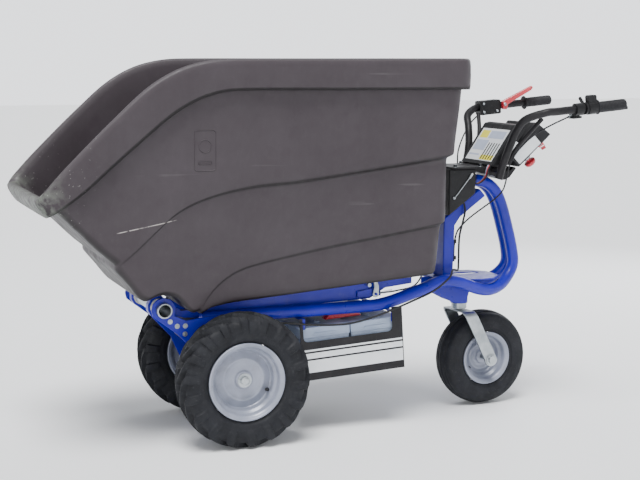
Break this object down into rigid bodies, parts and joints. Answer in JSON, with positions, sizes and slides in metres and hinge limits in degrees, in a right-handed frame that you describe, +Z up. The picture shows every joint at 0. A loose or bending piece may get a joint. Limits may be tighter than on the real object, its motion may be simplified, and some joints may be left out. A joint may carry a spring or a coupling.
{
  "type": "power wheelbarrow",
  "caption": "Battery-driven wheelbarrow with tipping plastic tub, two driven front wheels, rear swivel caster, battery tray and handlebars with controls.",
  "frame": {"origin": "middle of the bounding box in plan, on the ground under the wheels", "axes": "+X from the dumping lip towards the handles, +Y across the machine from the side nearest the viewer to the far side, +Z up"},
  "size_m": [1.9135, 0.622, 1.1294],
  "materials": {
    "blue_paint": "gloss blue enamel, scuffed",
    "tub_polyethylene": "moulded polyethylene, satin, dusty and scuffed",
    "silver_paint": "silver grey enamel",
    "tyre_rubber": "matt black, dusty",
    "zinc_plate": "zinc plated, slightly dull",
    "black_plastic": "satin moulded plastic",
    "black_powder_coat": "fine powder coat",
    "battery_case": "pale blue-grey moulded case",
    "red_plastic": "glossy red",
    "cast_aluminium": "as cast",
    "grip_rubber": "matt",
    "bush_nylon": "natural nylon"
  },
  "bodies": {
    "chassis": {"frame_tube_near": "blue_paint", "frame_tube_far": "blue_paint", "column": "blue_paint", "deck_plate": "blue_paint", "caster_housing": "blue_paint", "front_bracket_near": "blue_paint", "front_bracket_far": "blue_paint", "hanger_front": "blue_paint", "hanger_rear": "blue_paint", "latch_bracket": "blue_paint", "pivot_tube": "zinc_plate", "controller_plate": "zinc_plate", "key_switch": "zinc_plate", "controller_box": "black_plastic", "console_box": "black_plastic", "control_box": "black_plastic", "estop_collar": "black_plastic", "throttle_housing": "black_plastic", "brake_perch": "black_plastic", "release_housing": "black_plastic", "battery_tray": "black_powder_coat", "head_bracket": "black_powder_coat", "handlebar_near": "black_powder_coat", "handlebar_far": "black_powder_coat", "handle_brace_near": "black_powder_coat", "handle_brace_far": "black_powder_coat", "battery_front": "battery_case", "battery_rear": "battery_case", "terminal_cover": "red_plastic", "gearbox_housing": "cast_aluminium", "drive_motor": "cast_aluminium", "grip_near": "grip_rubber", "grip_far": "grip_rubber", "motor_cable": "grip_rubber", "brake_cable": "grip_rubber", "release_cable": "grip_rubber"},
    "tub": {"tub": "tub_polyethylene", "tub_subframe": "blue_paint", "pivot_bush_near": "bush_nylon", "pivot_bush_far": "bush_nylon", "latch_striker": "zinc_plate"},
    "prop": {"prop_rod": "zinc_plate"},
    "wheel_near": {"tyre_near": "tyre_rubber", "rim_near": "silver_paint", "drive_shaft_near": "zinc_plate"},
    "wheel_far": {"tyre_far": "tyre_rubber", "rim_far": "silver_paint", "drive_shaft_far": "zinc_plate"},
    "caster": {"caster_fork": "zinc_plate", "swivel_bearing": "zinc_plate", "caster_axle": "zinc_plate"},
    "caster_wheel": {"caster_tyre": "tyre_rubber", "caster_rim": "silver_paint"},
    "latch": {"latch_hook": "zinc_plate"},
    "release": {"release_lever": "red_plastic"},
    "brake": {"brake_lever": "black_powder_coat"},
    "throttle": {"throttle_lever": "black_plastic"},
    "ignition_key": {"key": "red_plastic"},
    "stop_button": {"estop_button": "red_plastic"}
  },
  "joints": [
    {"name": "tub_tilt", "type": "hinge", "parent": "chassis", "child": "tub", "pos_m": [-0.5769, 0, 0.407], "axis": [0, -1, 0], "range_deg": [0, 85]},
    {"name": "prop_swing", "type": "hinge", "parent": "tub", "child": "prop", "pos_m": [-0.2109, -0.078, 0.392], "axis": [0, -1, 0], "range_deg": [0, 75]},
    {"name": "wheel_near_spin", "type": "hinge", "parent": "chassis", "child": "wheel_near", "pos_m": [-0.3589, -0.235, 0.2], "axis": [0, 1, 0], "continuous": true},
    {"name": "wheel_far_spin", "type": "hinge", "parent": "chassis", "child": "wheel_far", "pos_m": [-0.3589, 0.235, 0.2], "axis": [0, 1, 0], "continuous": true},
    {"name": "caster_swivel", "type": "hinge", "parent": "chassis", "child": "caster", "pos_m": [0.4541, 0, 0.36], "axis": [0, 0, 1], "continuous": true},
    {"name": "caster_spin", "type": "hinge", "parent": "caster", "child": "caster_wheel", "pos_m": [0.53678, 0.00723, 0.155], "axis": [-0.0872, 0.9962, 0], "continuous": true},
    {"name": "release_pull", "type": "hinge", "parent": "chassis", "child": "release", "pos_m": [0.71939, 0.21, 0.97318], "axis": [0, 1, 0], "range_deg": [0, 14], "stiffness_Nm_per_rad": 1, "springref_deg": -5.73},
    {"name": "latch_open", "type": "hinge", "parent": "chassis", "child": "latch", "pos_m": [0.1031, -0.1325, 0.409], "axis": [0, 1, 0], "range_deg": [0, 20], "stiffness_Nm_per_rad": 0.3, "springref_deg": -5.73},
    {"name": "brake_pull", "type": "hinge", "parent": "chassis", "child": "brake", "pos_m": [0.74522, -0.202, 0.95335], "axis": [0.0872, 0, -0.9962], "range_deg": [0, 10], "stiffness_Nm_per_rad": 2, "springref_deg": -2.86},
    {"name": "throttle_push", "type": "hinge", "parent": "chassis", "child": "throttle", "pos_m": [0.76856, -0.236, 0.97346], "axis": [-0.9962, 0, -0.0872], "range_deg": [0, 38], "stiffness_Nm_per_rad": 0.3, "springref_deg": -11.46},
    {"name": "key_turn", "type": "hinge", "parent": "chassis", "child": "ignition_key", "pos_m": [0.71598, -0.005, 0.87686], "axis": [0.6704, 0, -0.742], "range_deg": [0, 60]},
    {"name": "stop_press", "type": "slide", "parent": "chassis", "child": "stop_button", "axis": [-0.6704, 0, 0.742], "range_m": [0, 0.005], "stiffness_N_per_m": 800, "springref_m": -0.002}
  ],
  "couplings": [
    {"joint": "latch_open", "follows": "release_pull", "ratio": 1.3}
  ]
}
